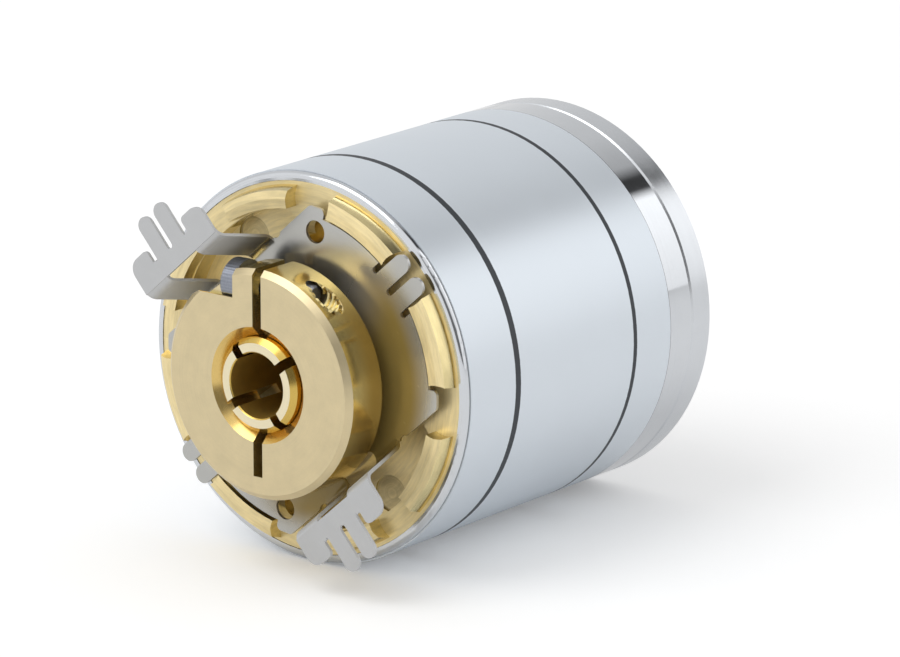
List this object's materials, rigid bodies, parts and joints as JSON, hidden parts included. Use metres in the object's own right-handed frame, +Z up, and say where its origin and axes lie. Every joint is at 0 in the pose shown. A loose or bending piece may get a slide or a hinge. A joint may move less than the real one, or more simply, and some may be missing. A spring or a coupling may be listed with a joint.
{
  "type": "incremental rotary encoder",
  "caption": "Miniature incremental rotary encoder with a hollow clamping shaft, a brass flange and a sprung sheet-metal stator coupling.",
  "frame": {"origin": "on the shaft's axis, in the plane of the two forward spring tabs that are fastened to the machine", "axes": "+Y along the shaft's axis towards the rear cap, so the front faces -Y; +Z up, towards the clamp ring's open slot; +X to the right in the front view"},
  "size_m": [0.024, 0.0293, 0.024],
  "materials": {
    "flange_brass": "turned and milled brass, satin end faces, brighter turned walls",
    "ring_brass": "fine matt end face, bright turned rim",
    "shaft_brass": "turned brass, fine tool rings in the bore",
    "spring_steel": "thin stamped stainless sheet, satin with a mirror-like sheen",
    "sleeve_aluminium": "polished turned band",
    "cap_aluminium": "polished turned band and fine turned rear face",
    "wrap_foil": "satin silver foil with two thin black lines round it",
    "clamp_screw_steel": "dark steel with a fine straight knurl round the head",
    "seal_rubber": "smooth black rubber",
    "grommet_rubber": "matt black rubber",
    "bearing_steel": "ground bearing steel",
    "ball_steel": "polished balls",
    "cage_brass": "stamped brass",
    "shield_steel": "stamped steel",
    "holder_plastic": "moulded black plastic",
    "led_plastic": "clear red lens",
    "lead_wire": "tinned wire",
    "small_screw_steel": "bright screws",
    "mask_glass": "etched glass mask",
    "disc_glass": "glass with a chrome line ring",
    "chip_plastic": "black moulded packages",
    "pillar_brass": "turned pillars",
    "board_laminate": "green laminate with solder resist",
    "spacer_plastic": "natural nylon",
    "header_plastic": "black header block",
    "spacer_steel": "ground steel",
    "hub_aluminium": "turned aluminium"
  },
  "bodies": {
    "housing": {"flange_body": "flange_brass", "stator_spring": "spring_steel", "housing_sleeve": "sleeve_aluminium", "sleeve_wrap": "wrap_foil", "rear_cap": "cap_aluminium", "front_seal_ring": "seal_rubber", "rear_seal_ring": "seal_rubber", "cable_grommet": "grommet_rubber", "front_bearing_outer_ring": "bearing_steel", "rear_bearing_outer_ring": "bearing_steel", "front_bearing_shields": "shield_steel", "rear_bearing_shields": "shield_steel", "led_holder": "holder_plastic", "led": "led_plastic", "led_leads": "lead_wire", "led_holder_screws": "small_screw_steel", "reticle": "mask_glass", "sensor_chip": "chip_plastic", "board_pillars": "pillar_brass", "sensor_board": "board_laminate", "board_spacers": "spacer_plastic", "driver_board": "board_laminate", "driver_components": "chip_plastic", "pin_header": "header_plastic", "board_screws": "small_screw_steel"},
    "shaft": {"hollow_shaft": "shaft_brass", "clamp_ring": "ring_brass", "front_bearing_inner_ring": "bearing_steel", "rear_bearing_inner_ring": "bearing_steel", "inner_spacer": "spacer_steel", "preload_washer": "spacer_steel", "disc_hub": "hub_aluminium", "code_disc": "disc_glass", "disc_washer": "spacer_steel", "shaft_retaining_ring": "spacer_steel"},
    "front_ball_set": {"front_bearing_balls": "ball_steel", "front_bearing_cage": "cage_brass"},
    "rear_ball_set": {"rear_bearing_balls": "ball_steel", "rear_bearing_cage": "cage_brass"},
    "clamp_screw": {"clamp_screw": "clamp_screw_steel"}
  },
  "joints": [
    {"name": "shaft_spin", "type": "hinge", "parent": "housing", "child": "shaft", "pos_m": [0, 0, 0], "axis": [0, 1, 0], "continuous": true},
    {"name": "front_ball_set_spin", "type": "hinge", "parent": "housing", "child": "front_ball_set", "pos_m": [0, 0.0065, 0], "axis": [0, 1, 0], "continuous": true},
    {"name": "rear_ball_set_spin", "type": "hinge", "parent": "housing", "child": "rear_ball_set", "pos_m": [0, 0.0125, 0], "axis": [0, 1, 0], "continuous": true},
    {"name": "clamp_screw_turn", "type": "hinge", "parent": "shaft", "child": "clamp_screw", "pos_m": [0, 0.00165, 0.00565], "axis": [1, 0, 0], "range_deg": [-360, 180]}
  ],
  "couplings": [
    {"joint": "front_ball_set_spin", "follows": "shaft_spin", "ratio": 0.41875},
    {"joint": "rear_ball_set_spin", "follows": "shaft_spin", "ratio": 0.41875}
  ]
}
